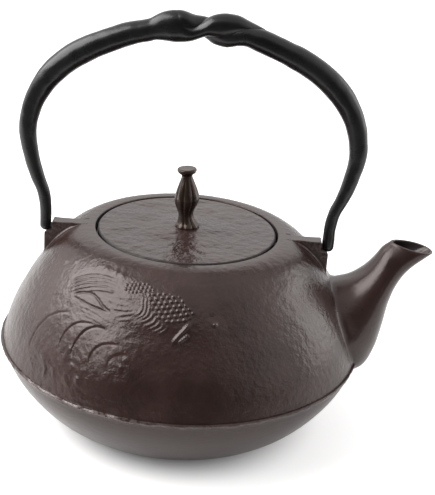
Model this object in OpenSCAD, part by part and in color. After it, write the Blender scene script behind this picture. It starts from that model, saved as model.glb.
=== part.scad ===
// Cast iron teapot with a twisted bail handle, a flush lid and a steel tea basket.
// Millimetres, +Z up. Origin at the centre of the flat base, +X toward the spout.

/* [Body] */
// Diameter over the ridge, the widest line of the body
ridge_d = 154; // [145:0.5:165]
// Height of the ridge above the base
ridge_h = 35.7; // [33:0.1:39]
// Height of the rim, level with the top of the lid
rim_h = 85; // [81:0.5:90]
// Diameter of the flat base
base_d = 80; // [74:1:86]
// Thickness of the cast wall
wall = 3; // [2.4:0.1:3.6]
// How far the ridge stands out from the bowl
ridge_lip = 0.8; // [0.4:0.1:1.2]

/* [Lid] */
// Diameter of the lid plate
lid_d = 75.7; // [70:0.1:80]
// Thickness of the lid plate
lid_t = 2.6; // [2.2:0.1:3.2]
// Gap between the lid's edge and the rim
lid_gap = 0.3; // [0.2:0.05:0.6]
// Depth of the ring under the lid
lid_ring_h = 3.4; // [2:0.1:5]
// Radius of the steam hole behind the knob
vent_r = 1.1; // [0.8:0.1:1.5]

/* [Knob] */
// Height of the knob above the lid
knob_h = 27.2; // [24:0.1:30]
// Greatest diameter of the knob
knob_d = 10.3; // [9:0.1:12]
// Number of flutes round the knob
knob_flutes = 8; // [6:1:10]
// How far the knob leans away from the spout, in degrees
knob_lean = 3.6; // [0:0.1:5]
// Radius of the rivet that holds the knob
rivet_r = 1.6; // [1.3:0.1:1.9]

/* [Ears] */
// Distance from the axis to the outer end of an ear
ear_out = 59.7; // [58:0.1:62]
// Thickness of an ear
ear_t = 6.2; // [5.6:0.1:7]
// Height of the ears' flat tops below the rim
ear_drop = 0.5; // [0.3:0.1:1.5]
// Width of the notch at an ear's outer end
notch_w = 3.2; // [2.8:0.1:3.8]
// Radius of the notch about the pivot
notch_r = 3.4; // [3.2:0.1:3.8]
// Depth of the pivot below an ear's top
pivot_drop = 2.7; // [2.5:0.1:3.2]
// Radius of the pins at the ends of the bail
pin_r = 1.2; // [1:0.05:1.4]
// Radial clearance of a pin in its bore
pin_fit = 0.06; // [0.02:0.01:0.1]
// Length of a pin inside its bore
pin_l = 4; // [3:0.1:5]

/* [Bail] */
// Height of the bail's centre line above the pivots
bail_h = 88.2; // [84:0.1:92]
// Half the distance between the legs at their widest
bail_half = 67.3; // [66:0.1:70]
// Thickness of the grip across, in its plane
bail_w = 9.9; // [9:0.1:11]
// Depth of the bail from front to back, as a part of its width
bail_depth = 0.92; // [0.8:0.01:1]
// Thickness of the legs at their lower ends
bail_end_w = 4.8; // [4.4:0.1:5]
// Gap between the bail's ends and the notch walls
bail_gap = 0.5; // [0.3:0.05:0.8]
// Half the length of the twist
twist_half = 20; // [17:0.5:23]
// Length along the bail for half a turn of the twist
twist_pitch = 19.4; // [17:0.1:22]
// Radius of each strand in the twist
strand_r = 4.3; // [3.9:0.1:4.6]
// Distance of each strand from the twist's centre line
strand_off = 1.9; // [1.5:0.1:2.2]

/* [Spout] */
// Reach of the lip from the axis
spout_reach = 103.2; // [100:0.1:106]
// Height of the lip above the base
spout_lip_h = 82.9; // [81:0.1:86]
// Wall thickness at the mouth
spout_wall = 1.9; // [1.6:0.1:2.4]
// Half the width of the mouth
mouth_half = 5.8; // [5:0.1:6.6]

/* [Basket] */
// Outer diameter of the basket's wall
basket_d = 66.4; // [60:0.1:68]
// Depth of the basket below its rim
basket_h = 42; // [36:0.5:48]
// Thickness of the basket's sheet
sheet = 0.5; // [0.4:0.05:0.7]
// Gap between the basket and the hole in the ledge
basket_gap = 0.7; // [0.5:0.05:1]
// Height of the band round the basket's foot
band_h = 3; // [2:0.1:5]

/* [Hidden] */
$fn = 64;
eps = 0.01;
ridge_r = ridge_d / 2;
base_r = base_d / 2;
lid_r = lid_d / 2;
seat_r = lid_r + lid_gap;
basket_r = basket_d / 2;
ledge_r = basket_r + basket_gap;
basket_rim_h = rim_h - lid_t;
ledge_h = basket_rim_h - sheet;
lid_ring_r = basket_r - sheet - 0.7;
ear_h = rim_h - ear_drop;
pivot_h = ear_h - pivot_drop;
notch_x = ear_out - notch_w;
bore_r = pin_r + pin_fit;
leg_x = notch_x + bail_gap + bail_end_w / 2;

split_h = ridge_h + ridge_lip * 1.125;

// Outer line of the bowl, as parts of the way from the base to the ridge.
bowl_pts = [[0, 0], [0.108, 0.026], [0.254, 0.098], [0.367, 0.165], [0.481, 0.249],
            [0.577, 0.335], [0.665, 0.431], [0.740, 0.525], [0.808, 0.622], [0.862, 0.711],
            [0.908, 0.801], [0.942, 0.885], [0.966, 0.955]];
// Outer line of the shoulder, as parts of the way from the lid's edge to the ridge.
shoulder_pts = [[0.954, 0.051], [0.929, 0.132], [0.895, 0.217], [0.843, 0.314], [0.779, 0.412],
                [0.711, 0.512], [0.633, 0.611], [0.567, 0.692], [0.495, 0.770], [0.436, 0.829],
                [0.369, 0.881], [0.318, 0.916], [0.262, 0.946], [0.205, 0.972], [0.150, 0.989],
                [0.095, 0.998], [0.051, 1]];

function bowl(p) = [base_r + (ridge_r - base_r) * p[0], ridge_h * p[1]];
function shoulder(p) = [seat_r + (ridge_r - seat_r) * p[0], ridge_h + (rim_h - ridge_h) * p[1]];
bowl_line = [for (p = bowl_pts) bowl(p)];
shoulder_line = [for (p = shoulder_pts) shoulder(p)];

// Points moved square to the line by t, to the left of its direction.
function unit(v) = v / norm(v);
function side(l, i) = unit(l[min(i + 1, len(l) - 1)] - l[max(i - 1, 0)]);
function inset(l, t) = [for (i = [0 : len(l) - 1]) l[i] + t * [-side(l, i)[1], side(l, i)[0]]];
inner_bowl = inset([for (i = [2 : 12]) bowl_line[i]], wall);
inner_shoulder = inset([for (i = [0 : 2 : 10]) shoulder_line[i]], wall);

// Four-point subdivision: keeps every point and adds one between each pair.
function mid(l, i) = (9 * (l[i] + l[i + 1]) - l[max(i - 1, 0)] - l[min(i + 2, len(l) - 1)]) / 16;
function finer(l) = [for (i = [0 : len(l) - 1]) each (i < len(l) - 1 ? [l[i], mid(l, i)] : [l[i]])];

function lerp(a, b, t) = a + (b - a) * t;
function clamp1(t) = min(1, max(0, t));
function ease(t) = clamp1(t) * clamp1(t) * (3 - 2 * clamp1(t));

// A closed skin through rings of equal length, with a fan at each end.
module skin(rings, a, b) {
    n = len(rings[0]);
    m = len(rings);
    polyhedron(
        points = concat([a], [for (r = rings) each r], [b]),
        faces = concat(
            [for (j = [0 : n - 1]) [0, 1 + j, 1 + (j + 1) % n]],
            [for (i = [0 : m - 2]) for (j = [0 : n - 1]) each [
                [1 + i * n + j, 1 + (i + 1) * n + j, 1 + i * n + (j + 1) % n],
                [1 + i * n + (j + 1) % n, 1 + (i + 1) * n + j, 1 + (i + 1) * n + (j + 1) % n]]],
            [for (j = [0 : n - 1]) [m * n + 1, 1 + (m - 1) * n + (j + 1) % n, 1 + (m - 1) * n + j]]));
}

// Spout sections: inner line point and outer line point, as parts of the ridge's
// radius and of the rim's height, then half width and taper to the lip.
spout_secs = [
    [[0.7273, 0.7471], [0.9091, 0.3012], ridge_r * 0.2922, 0],
    [[0.8000, 0.7800], [1.0312, 0.3506], ridge_r * 0.2636, 0],
    [[0.8416, 0.7918], [1.0883, 0.4506], ridge_r * 0.2286, 0],
    [[0.9052, 0.8129], [1.1169, 0.5753], ridge_r * 0.1935, 0],
    [[0.9714, 0.8576], [1.1364, 0.7035], ridge_r * 0.1584, 0.03],
    [[1.0234, 0.9153], [1.1701, 0.8024], ridge_r * 0.1260, 0.06],
    [[1.0649, 0.9776], [1.2286, 0.8847], ridge_r * 0.0987, 0.1],
    [[1.1052, 1.0129], [1.3403, 0.9753], mouth_half, 0.16]];

// A section point in place, moved to the named reach and lip height, more toward the lip.
tip = spout_secs[7][1];
function aim(p, k) = [ridge_r * p[0] + (spout_reach - ridge_r * tip[0]) * k * k,
                      rim_h * p[1] + (spout_lip_h - rim_h * tip[1]) * k * k];

// One ring of the spout: an egg between two points of the middle plane.
function egg(u, l, b, q) = [for (j = [0 : 19]) let (t = 18 * j)
    [lerp(u[0], l[0], 0.5 + 0.5 * cos(t)), b * sin(t) * (1 - q * cos(t)),
     lerp(u[1], l[1], 0.5 + 0.5 * cos(t))]];
spout_u = finer([for (i = [0 : 7]) aim(spout_secs[i][0], i / 7)]);
spout_l = finer([for (i = [0 : 7]) aim(spout_secs[i][1], i / 7)]);
spout_b = finer([for (s = spout_secs) s[2]]);
spout_q = finer([for (s = spout_secs) s[3]]);
last_ring = len(spout_u) - 1;

module spout_skin() {
    rings = [for (i = [0 : last_ring]) egg(spout_u[i], spout_l[i], spout_b[i], spout_q[i])];
    skin(rings, ring_mid(rings[0]), ring_mid(rings[last_ring]));
}

function ring_mid(r) = (r[0] + r[10]) / 2;

// The channel: narrow at the body's wall, then one wall inside the skin up to the mouth.
channel_t = finer([for (p = [0.18, 0.13, 0.07, 0.0351, 0.0195, 0.0104, 0.0039, 0])
    spout_wall + ridge_r * p]);
module spout_channel() {
    n = last_ring;
    d = [for (i = [0 : n]) unit(spout_l[i] - spout_u[i])];
    u = [for (i = [0 : n]) spout_u[i] + d[i] * channel_t[i]];
    l = [for (i = [0 : n]) spout_l[i] - d[i] * channel_t[i]];
    b = [for (i = [0 : n]) spout_b[i] - channel_t[i]];
    back = [-4 * wall, 1.33 * wall];
    root = egg(u[0] + back, l[0] + back, b[0], 0);
    rings = [for (i = [0 : n]) egg(u[i], l[i], b[i], spout_q[i])];
    out = [0.1 * mouth_half, 0.7 * mouth_half];
    over = egg(u[n] + out, l[n] + out, b[n], spout_q[n]);
    all_rings = concat([root], rings, [over]);
    skin(all_rings, ring_mid(root), ring_mid(over));
}

ridge_line = [[ridge_r - ridge_lip * 0.4, ridge_h - ridge_lip * 1.125],
              [ridge_r, ridge_h - ridge_lip * 0.5],
              [ridge_r, ridge_h + ridge_lip * 0.375], [ridge_r - ridge_lip * 0.5, split_h]];
inner_split = [lerp(inner_bowl[10][0], inner_shoulder[0][0],
                    (split_h - inner_bowl[10][1]) / (inner_shoulder[0][1] - inner_bowl[10][1])), split_h];

// Everything inside the outer face of the casting, without spout and ears.
module pot_outside() {
    rotate_extrude($fn = 128)
        polygon(concat([[0, 0]], bowl_line, ridge_line, shoulder_line, [[seat_r, rim_h], [0, rim_h]]));
}

// The casting is made in six pieces that meet face to face: the floor, the bowl with
// the ridge, the shoulder with the lid's seat, the spout and two ears.
floor_h = bowl_line[2][1];

module pot_base() {
    color([0.23, 0.18, 0.18])
    rotate_extrude()
        polygon([[0, 0], bowl_line[0], bowl_line[1], bowl_line[2], [0, floor_h]]);
}

module pot_bowl() {
    color([0.23, 0.18, 0.18])
    rotate_extrude()
        polygon(concat([for (i = [2 : 12]) bowl_line[i]], ridge_line, [inner_split],
                       [for (i = [10 : -1 : 0]) inner_bowl[i]],
                       [[inner_bowl[0][0] - wall * 1.33, floor_h]]));
}

module pot_shoulder() {
    color([0.23, 0.18, 0.18])
    difference() {
        rotate_extrude()
            polygon(concat(
                [ridge_line[3]], shoulder_line,
                [[seat_r, rim_h], [seat_r, ledge_h], [ledge_r, ledge_h], [ledge_r, ledge_h - wall],
                 [lerp(ledge_r, inner_shoulder[5][0], 0.4), ledge_h - wall]],
                [for (i = [5 : -1 : 0]) inner_shoulder[i]], [inner_split]));
        spout_channel();
    }
}

module spout() {
    color([0.23, 0.18, 0.18])
    difference() {
        spout_skin();
        pot_outside();
        spout_channel();
    }
}

module ear() {
    translate([ledge_r + wall, -ear_t / 2, rim_h * 0.74])
        cube([ear_out - ledge_r - wall, ear_t, ear_h - rim_h * 0.74]);
}

module ear_cut() {
    translate([notch_x, 0, pivot_h]) rotate([0, 90, 0]) cylinder(r = notch_r, h = 10);
    translate([notch_x, -ear_t, pivot_h]) cube([10, 2 * ear_t, 10]);
    translate([notch_x - pin_l - 0.6, 0, pivot_h]) rotate([0, 90, 0])
        cylinder(r = bore_r, h = pin_l + 1, $fn = 32);
}

module ear_right() {
    color([0.23, 0.18, 0.18])
    difference() {
        ear();
        pot_outside();
        ear_cut();
    }
}

module ear_left() {
    mirror([1, 0, 0]) ear_right();
}

module lid() {
    color([0.22, 0.17, 0.17])
    difference() {
        union() {
            translate([0, 0, rim_h - lid_t]) cylinder(r = lid_r, h = lid_t);
            translate([0, 0, rim_h - lid_t - lid_ring_h]) cylinder(r = lid_ring_r, h = lid_ring_h + 1);
        }
        translate([0, 0, rim_h - lid_t - lid_ring_h - 1])
            cylinder(r = lid_ring_r - 2, h = lid_ring_h + 1);
        translate([0, 0, rim_h - lid_t - 1]) cylinder(r = rivet_r, h = lid_t + 2, $fn = 32);
        translate([0, 9, rim_h - lid_t - 1]) cylinder(r = vent_r, h = lid_t + 2, $fn = 24);
    }
}

// Knob outline: part of the height, part of the greatest radius, depth of the flutes.
knob_pts = [[-0.04, 0.86, 0.10], [0.033, 0.99, 0.13], [0.062, 0.95, 0.12], [0.11, 0.76, 0.09],
            [0.16, 0.64, 0.06], [0.22, 0.60, 0.06], [0.29, 0.71, 0.09], [0.37, 0.89, 0.11],
            [0.45, 0.98, 0.12], [0.53, 0.96, 0.11], [0.62, 0.84, 0.10], [0.71, 0.68, 0.08],
            [0.79, 0.53, 0.06], [0.85, 0.46, 0.04], [0.885, 0.52, 0.03], [0.915, 0.74, 0.05],
            [0.94, 0.78, 0.06], [0.965, 0.64, 0.05], [0.99, 0.33, 0.03]];

module lid_knob() {
    n = knob_flutes * 4;
    color([0.16, 0.14, 0.12])
    difference() {
        translate([0, 0, rim_h]) rotate([0, -knob_lean, 0])
            skin([for (p = knob_pts) [for (j = [0 : n - 1])
                    let (a = 360 * j / n, r = knob_d / 2 * p[1] * (1 - p[2] * (0.5 - 0.5 * cos(knob_flutes * a))))
                    [r * cos(a), r * sin(a), knob_h * p[0]]]],
                [0, 0, knob_h * knob_pts[0][0]], [0, 0, knob_h]);
        translate([0, 0, rim_h - 10]) cylinder(r = knob_d, h = 10);
        translate([0, 0, rim_h - 1]) cylinder(r = rivet_r, h = 6, $fn = 32);
    }
}

// The rivet: a domed head under the lid and a shank up into the knob.
module knob_rivet() {
    head_r = rivet_r * 2.4;
    color([0.2, 0.19, 0.18])
    rotate_extrude()
        polygon([[0, rim_h - lid_t - 1.5], [head_r * 0.5, rim_h - lid_t - 1.35],
                 [head_r * 0.85, rim_h - lid_t - 0.9], [head_r, rim_h - lid_t - 0.4],
                 [head_r, rim_h - lid_t], [rivet_r, rim_h - lid_t], [rivet_r, rim_h + 5], [0, rim_h + 5]]);
}

// Right half of the bail's centre line, from the pivot to the top: part of the
// half width, part of the height, part of the grip's thickness.
bail_pts = [[0, 0, 0], [0.015, 0.095, 0.475], [0.17, 0.172, 0.505], [0.50, 0.247, 0.56],
            [0.83, 0.353, 0.64], [1, 0.483, 0.733], [0.965, 0.60, 0.828], [0.904, 0.692, 0.911],
            [0.835, 0.759, 0.974], [0.753, 0.814, 1.0], [0.641, 0.868, 1.0], [0.472, 0.927, 0.955],
            [0.275, 0.977, 0.90], [0.12, 0.995, 0.88], [0, 1, 0.87]];

function bail_x(i) = i == 0 ? leg_x : i < 6
    ? leg_x + (bail_half - leg_x) * bail_pts[i][0]
    : bail_half * bail_pts[i][0];
bail_half_line = [for (i = [0 : 14])
    [bail_x(i), pivot_h + bail_h * bail_pts[i][1],
     i == 0 ? bail_end_w / 2 : max(bail_end_w / 2, bail_w / 2 * bail_pts[i][2])]];
bail_line = finer(finer(concat(
    [for (p = bail_half_line) [-p[0], p[1], p[2]]],
    [for (i = [13 : -1 : 0]) bail_half_line[i]])));

// How far round the twist is at x, and how far its two strands stand apart.
function turn(x) = -180 * (max(-twist_half, min(twist_half, x)) + 8.5) / twist_pitch;
function apart(x) = strand_off * ease((twist_half - abs(x)) / 7);

// Radius of the section at angle a from the line through both strand centres.
function strand(d, r, a) = d * abs(cos(a)) + sqrt(r * r - d * d * sin(a) * sin(a));

// One ring of the bail round point i of its centre line.
function bail_ring(l, i) = let (
        t = unit([l[min(i + 1, len(l) - 1)][0] - l[max(i - 1, 0)][0],
                  l[min(i + 1, len(l) - 1)][1] - l[max(i - 1, 0)][1]]),
        x = l[i][0], top = l[i][1] > pivot_h + bail_h * 0.8,
        d = top ? apart(x) : 0,
        r = lerp(l[i][2], strand_r, top ? ease((twist_half - abs(x)) / 7) : 0),
        k = lerp(bail_depth, 1, top ? ease((twist_half - abs(x)) / 7) : 0),
        w = top ? turn(x) : turn(sign(x) * twist_half))
    [for (j = [0 : 19]) let (a = 18 * j + w, q = strand(d, r, 18 * j))
        [x - t[1] * q * cos(a), -k * q * sin(a), l[i][1] + t[0] * q * cos(a)]];

// A rounded end below the first point and the last, down to the pivot's own radius.
function end_ring(x, f, g, w) = [for (j = [0 : 19]) let (a = 18 * j + w)
    [x - sign(x) * bail_end_w / 2 * g * cos(a) * -1, -bail_depth * bail_end_w / 2 * g * sin(a),
     pivot_h - f]];

module bail() {
    l = bail_line;
    n = len(l);
    rings = [for (i = [0 : n - 1]) bail_ring(l, i)];
    low = bail_end_w / 2 * bail_depth;
    first = [for (p = rings[0]) [lerp(-leg_x, p[0], 0.8), p[1] * 0.72, pivot_h - low * 0.65]];
    last = [for (p = rings[n - 1]) [lerp(leg_x, p[0], 0.8), p[1] * 0.72, pivot_h - low * 0.65]];
    color([0.1, 0.1, 0.1])
    union() {
        skin(concat([first], rings, [last]), [-leg_x, 0, pivot_h - low], [leg_x, 0, pivot_h - low]);
        for (s = [0, 1]) mirror([s, 0, 0])
            translate([notch_x - pin_l, 0, pivot_h]) rotate([0, 90, 0])
                cylinder(r = pin_r, h = pin_l + bail_gap + 1.2, $fn = 32);
    }
}

module basket_rim() {
    color([0.75, 0.75, 0.76])
    translate([0, 0, ledge_h]) difference() {
        cylinder(r = seat_r - 0.4, h = sheet);
        translate([0, 0, -1]) cylinder(r = basket_r - sheet, h = sheet + 2);
    }
}

module basket_wall() {
    color([0.7, 0.7, 0.72])
    translate([0, 0, ledge_h - basket_h]) difference() {
        cylinder(r = basket_r, h = basket_h);
        translate([0, 0, -1]) cylinder(r = basket_r - sheet, h = basket_h + 2);
    }
}

module basket_floor() {
    color([0.7, 0.7, 0.72])
    translate([0, 0, ledge_h - basket_h]) cylinder(r = basket_r - sheet, h = sheet);
}

module basket_band() {
    color([0.75, 0.75, 0.76])
    translate([0, 0, ledge_h - basket_h]) difference() {
        cylinder(r = basket_r + sheet * 0.6, h = band_h);
        translate([0, 0, -1]) cylinder(r = basket_r, h = band_h + 2);
    }
}

pot_base();
pot_bowl();
pot_shoulder();
spout();
ear_right();
ear_left();
lid();
lid_knob();
knob_rivet();
bail();
basket_rim();
basket_wall();
basket_floor();
basket_band();
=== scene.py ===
import bpy
import math
import numpy as np
from mathutils import Matrix


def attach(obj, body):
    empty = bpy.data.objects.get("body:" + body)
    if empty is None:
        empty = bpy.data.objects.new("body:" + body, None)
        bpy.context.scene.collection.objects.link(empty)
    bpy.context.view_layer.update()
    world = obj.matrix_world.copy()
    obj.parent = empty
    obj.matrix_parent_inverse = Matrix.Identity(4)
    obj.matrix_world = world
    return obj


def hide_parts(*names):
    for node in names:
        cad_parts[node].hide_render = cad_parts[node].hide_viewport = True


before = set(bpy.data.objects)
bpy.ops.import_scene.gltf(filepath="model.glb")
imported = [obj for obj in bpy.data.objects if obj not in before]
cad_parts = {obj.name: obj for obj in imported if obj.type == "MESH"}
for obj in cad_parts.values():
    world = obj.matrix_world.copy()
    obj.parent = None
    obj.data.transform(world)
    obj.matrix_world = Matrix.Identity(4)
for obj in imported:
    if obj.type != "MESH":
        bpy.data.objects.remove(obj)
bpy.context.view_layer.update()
scene = bpy.context.scene
PI = math.pi
UP = np.array([0, 0, 1.0])

# ---------------------------------------------------------------- sizes, mm
RIDGE_R, RIDGE_H, RIM_H, BASE_R, WALL = 77.0, 35.7, 85.0, 40.0, 3.0
SEAT_R, LEDGE_R, LEDGE_H = 38.15, 33.9, 81.9
LID_R, LID_UNDER, LID_RING_R, STEAM_Y = 37.3, 82.4, 32.0, 9.0
HOLE_U, HOLE_V, HOLE_X, HOLE_H, SPOUT_LIP = 8.6, 6.2, 74.0, 50.5, 1.15
EAR_OUT, EAR_T, EAR_H, EAR_LOW, NOTCH_R, PIVOT_H = 59.7, 6.2, 84.5, 63.5, 3.4, 81.8
PIN_IN, LEG_X, PIN_R = 52.6, 59.4, 1.2
KNOB_R, KNOB_H = 5.15, 26.4
BAIL_H, BAIL_HALF, BAIL_W = 88.2, 67.3, 9.9
BASKET_H, MESH_R, WIRE, PITCH = 42.0, 32.85, 0.17, 1.2


# ---------------------------------------------------------------- curves and skins
def unit(v):
    """Vectors brought to length 1."""
    return v / np.maximum(np.linalg.norm(v, axis=-1, keepdims=True), 1e-9)


def ease(t):
    """0 below 0, 1 above 1, and 3t^2 - 2t^3 between."""
    t = np.clip(t, 0, 1)
    return t * t * (3 - 2 * t)


def cubic(u, start, end, slope, end_slope):
    """Cubic from start to end as u goes from 0 to 1, with the given slopes there."""
    return ((2 * u**3 - 3 * u**2 + 1) * start + (u**3 - 2 * u**2 + u) * slope
            + (3 * u**2 - 2 * u**3) * end + (u**3 - u**2) * end_slope)


def through(points, count):
    """Smooth curve through points: cubic pieces between neighbours, whose slope at a
    point is the mean slope on both sides by chord length. Returns count even samples."""
    p = np.asarray(points, float)
    d = np.r_[0, np.cumsum(np.linalg.norm(np.diff(p, axis=0), axis=1))]
    m = np.gradient(p, d, axis=0)
    t = np.linspace(0, d[-1], count)
    i = np.clip(np.searchsorted(d, t, side="right") - 1, 0, len(d) - 2)
    h = (d[i + 1] - d[i])[:, None]
    return cubic((t - d[i])[:, None] / h, p[i], p[i + 1], h * m[i], h * m[i + 1])


def at(values, k):
    """Smooth value at station k of a list: the same cubic pieces, with unit steps."""
    v = np.asarray(values, float)
    m = np.gradient(v, axis=0)
    i = np.clip(np.floor(k).astype(int), 0, len(v) - 2)
    u = np.expand_dims(k - i, -1) if v.ndim > 1 else k - i
    return cubic(u, v[i], v[i + 1], m[i], m[i + 1])


def smoothed(values, times):
    """Rows evened out some times: each is half itself and a quarter of each neighbour."""
    for _ in range(times):
        values[1:-1] = 0.25 * values[:-2] + 0.5 * values[1:-1] + 0.25 * values[2:]
    return values


def revolve(profile, angles):
    """Turns a profile of (radius, height) rows round the vertical axis: row i and
    angle j give (r cos a, r sin a, h)."""
    r, h = np.asarray(profile, float).T
    return np.stack([r[:, None] * np.cos(angles), r[:, None] * np.sin(angles),
                     np.repeat(h[:, None], len(angles), 1)], -1)


def tangents(line):
    """Unit directions of a line by central differences."""
    return unit(np.gradient(line, axis=0))


def normals_of(grid):
    """Unit normals of a grid that wraps round in its second direction: the cross
    product of the two central differences."""
    return unit(np.cross(np.roll(grid, -1, 1) - np.roll(grid, 1, 1), np.gradient(grid, axis=0)))


def field(p, wave, seed, waves=28):
    """Smooth random relief of about unit height and the given wavelength: a sum of
    plane cosines in random directions through space, each with a random phase."""
    rng = np.random.default_rng(seed)
    k = rng.normal(size=(waves, 3))
    k *= 2 * PI / wave * rng.uniform(0.7, 1.4, (waves, 1)) / np.linalg.norm(k, axis=1, keepdims=True)
    out = np.zeros(p.shape[:-1])
    for kk, phase in zip(k, rng.uniform(0, 2 * PI, waves)):
        out += np.cos(p @ kk + phase)
    return out * math.sqrt(2 / waves)


# ---------------------------------------------------------------- pieces from grids
NO_FANS = np.zeros((0, 3), int)


def ring_quads(rows, cols, loop=False):
    """Quads between rings of cols points. Each ring closes on itself, and the last ring
    joins the first one in a loop."""
    i, j = np.meshgrid(np.arange(rows if loop else rows - 1), np.arange(cols), indexing="ij")
    k, n = (j + 1) % cols, (i + 1) % rows
    return np.stack([i * cols + j, i * cols + k, n * cols + k, n * cols + j], -1).reshape(-1, 4)


def put_mesh(name, verts, quads, fans, slot, body, smooth=True, marks=None):
    """A mesh object from mm vertices, quads and triangles, that rides on a body and takes
    a slot. Its faces are turned outward by the sign of the volume they close."""
    corners = np.vstack([quads[:, :3], quads[:, [0, 2, 3]], fans])
    a, b, c = (verts[corners[:, i]] for i in range(3))
    inside_out = ((a - verts.mean(0)) * np.cross(b - a, c - a)).sum() < 0
    turn = slice(None, None, -1 if inside_out else 1)
    mesh = bpy.data.meshes.new(name)
    mesh.from_pydata((verts * 0.001).tolist(), [], quads[:, turn].tolist() + fans[:, turn].tolist())
    mesh.polygons.foreach_set("use_smooth", [smooth] * len(mesh.polygons))
    for key, values in (marks or {}).items():
        mesh.attributes.new(key, "FLOAT", "POINT").data.foreach_set("value", values)
    mesh.update()
    mesh.materials.append(MATERIALS[slot])
    ob = bpy.data.objects.new(name, mesh)
    scene.collection.objects.link(ob)
    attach(ob, body)
    return ob


def put_grid(name, grid, slot, body, loop=False, keep=None, **marks):
    """A skin over rings of points, each ring closed. The rings themselves close into a
    loop, or each end gets a fan to the middle of its ring. keep is a mask of the quads
    that stay, and each mark is a value from 0 to 1 for the material to read."""
    rows, cols = grid.shape[:2]
    verts, quads, fans = grid.reshape(-1, 3), ring_quads(rows, cols, loop), NO_FANS
    if keep is not None:
        quads = quads[keep.reshape(-1)]
    marks = {key: np.broadcast_to(v, (rows, cols)).astype(float).ravel() for key, v in marks.items()}
    ends = () if loop else ((0, [0, 1, 2]), ((rows - 1) * cols, [2, 1, 0]))
    j = np.arange(cols)
    for first, order in ends:
        fan = np.stack([np.full(cols, len(verts)), first + (j + 1) % cols, first + j], -1)
        fans = np.vstack([fans, fan[:, order]])
        marks = {key: np.r_[v, v[first:first + cols].mean()] for key, v in marks.items()}
        verts = np.vstack([verts, verts[first:first + cols].mean(0)])
    return put_mesh(name, verts, quads, fans, slot, body, marks=marks)


# ---------------------------------------------------------------- outline of the casting
BOWL = [[0, 0], [0.108, 0.026], [0.254, 0.098], [0.367, 0.165], [0.481, 0.249], [0.577, 0.335],
        [0.665, 0.431], [0.740, 0.525], [0.808, 0.622], [0.862, 0.711], [0.908, 0.801],
        [0.942, 0.885], [0.966, 0.955], [0.984, 0.995]]
SHOULDER = [[0.9745, 0.004], [0.9665, 0.022], [0.957, 0.050], [0.929, 0.132], [0.895, 0.217], [0.843, 0.314],
            [0.779, 0.412], [0.711, 0.512], [0.633, 0.611], [0.567, 0.692], [0.495, 0.770],
            [0.436, 0.829], [0.369, 0.881], [0.318, 0.916], [0.262, 0.946], [0.205, 0.972],
            [0.150, 0.989], [0.095, 0.998], [0.051, 1], [0.02, 1]]
bowl_line = through([[BASE_R + (RIDGE_R - BASE_R) * a, RIDGE_H * b] for a, b in BOWL], 160)
shoulder_line = through([[SEAT_R + (RIDGE_R - SEAT_R) * a, RIDGE_H + (RIM_H - RIDGE_H) * b]
                         for a, b in SHOULDER], 320)
skin_line = np.vstack([bowl_line, shoulder_line])
skin_s = np.r_[0, np.cumsum(np.linalg.norm(np.diff(skin_line, axis=0), axis=1))]
skin_t = tangents(skin_line)
skin_n = skin_t[:, ::-1] * [1, -1]
SPLIT_S, RIM_S = skin_s[len(bowl_line)], skin_s[-1]
OFF_FACE = -99.0


def radius_at(s):
    """Radius of the outer face at distance s up its outline."""
    return np.interp(s, skin_s, skin_line[:, 0])


def height_s(h):
    """Distance up the outline at which the shoulder has a height h."""
    return np.interp(h, shoulder_line[:, 1], skin_s[len(bowl_line):])


def on_skin(u, s, height):
    """Point of the casting's outer face: u is the distance round from +X, s the distance
    up along the outline, height the distance off the face along its normal."""
    r, z, nr, nz = (np.interp(s, skin_s, v) for v in (*skin_line.T, *skin_n.T))
    q = r + height * nr
    return np.stack([q * np.cos(u / r), q * np.sin(u / r), z + height * nz], -1)


def in_wall(s, depth):
    """(radius, height) rows at distances s up the outline and depth inside its face."""
    return np.stack([np.interp(s, skin_s, v) - depth * np.interp(s, skin_s, n)
                     for v, n in zip(skin_line.T, skin_n.T)], -1)


def skin_place(p):
    """Distance round, distance up and height off the outer face of points near it: the
    nearest of the outline's samples to each point's radius and height."""
    q = np.stack([np.hypot(p[..., 0], p[..., 1]), p[..., 2]], -1)
    i = np.argmin(((q[..., None, :] - skin_line) ** 2).sum(-1), -1)
    off = ((q - skin_line[i]) * skin_n[i]).sum(-1)
    s = skin_s[i] + ((q - skin_line[i]) * skin_t[i]).sum(-1)
    return np.arctan2(p[..., 1], p[..., 0]) * radius_at(s), s, off


hole_s = float(skin_place(np.array([[HOLE_X, 0, HOLE_H]]))[1][0])


def hole_place(t, grow):
    """Edge of the hole behind the spout, on the outer face: an ellipse round the spout's
    middle, wider by grow."""
    return (HOLE_U + grow) * np.sin(t), hole_s + (HOLE_V + grow) * np.cos(t)


def past_hole(angles, rows, grow):
    """Mask of a skin's quads: false where all four corners lie in the hole made wider by
    grow. rows has each row's distance up the outline, or OFF_FACE."""
    a, s = np.meshgrid(np.mod(angles + PI, 2 * PI) - PI, rows)
    u = a * radius_at(np.maximum(s, 0))
    inside = (u / (HOLE_U + grow)) ** 2 + ((s - hole_s) / (HOLE_V + grow)) ** 2 < 1
    pair = inside & np.roll(inside, -1, 1)
    return ~(pair & np.roll(pair, -1, 0))


# ---------------------------------------------------------------- spout
SPOUT_IN = [[56, 63.5], [61.6, 66.3], [64.8, 67.3], [69.7, 69.1], [74.8, 72.9], [78.8, 77.8],
            [82.0, 83.1], [85.1, 86.1]]
SPOUT_OUT = [[70, 25.6], [79.4, 29.8], [83.8, 38.3], [86.0, 48.9], [87.5, 59.8], [90.1, 68.2],
             [94.6, 75.2], [103.2, 82.9]]
SPOUT_W = [22.5, 20.3, 17.6, 14.9, 12.2, 9.7, 7.6, 5.8]
SPOUT_Q = [0, 0, 0, 0, 0.03, 0.06, 0.10, 0.16]
CHANNEL = [15.8, 11.9, 7.3, 4.6, 3.4, 2.6, 1.9, 1.15]
SPOUT_END = 7.0


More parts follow.
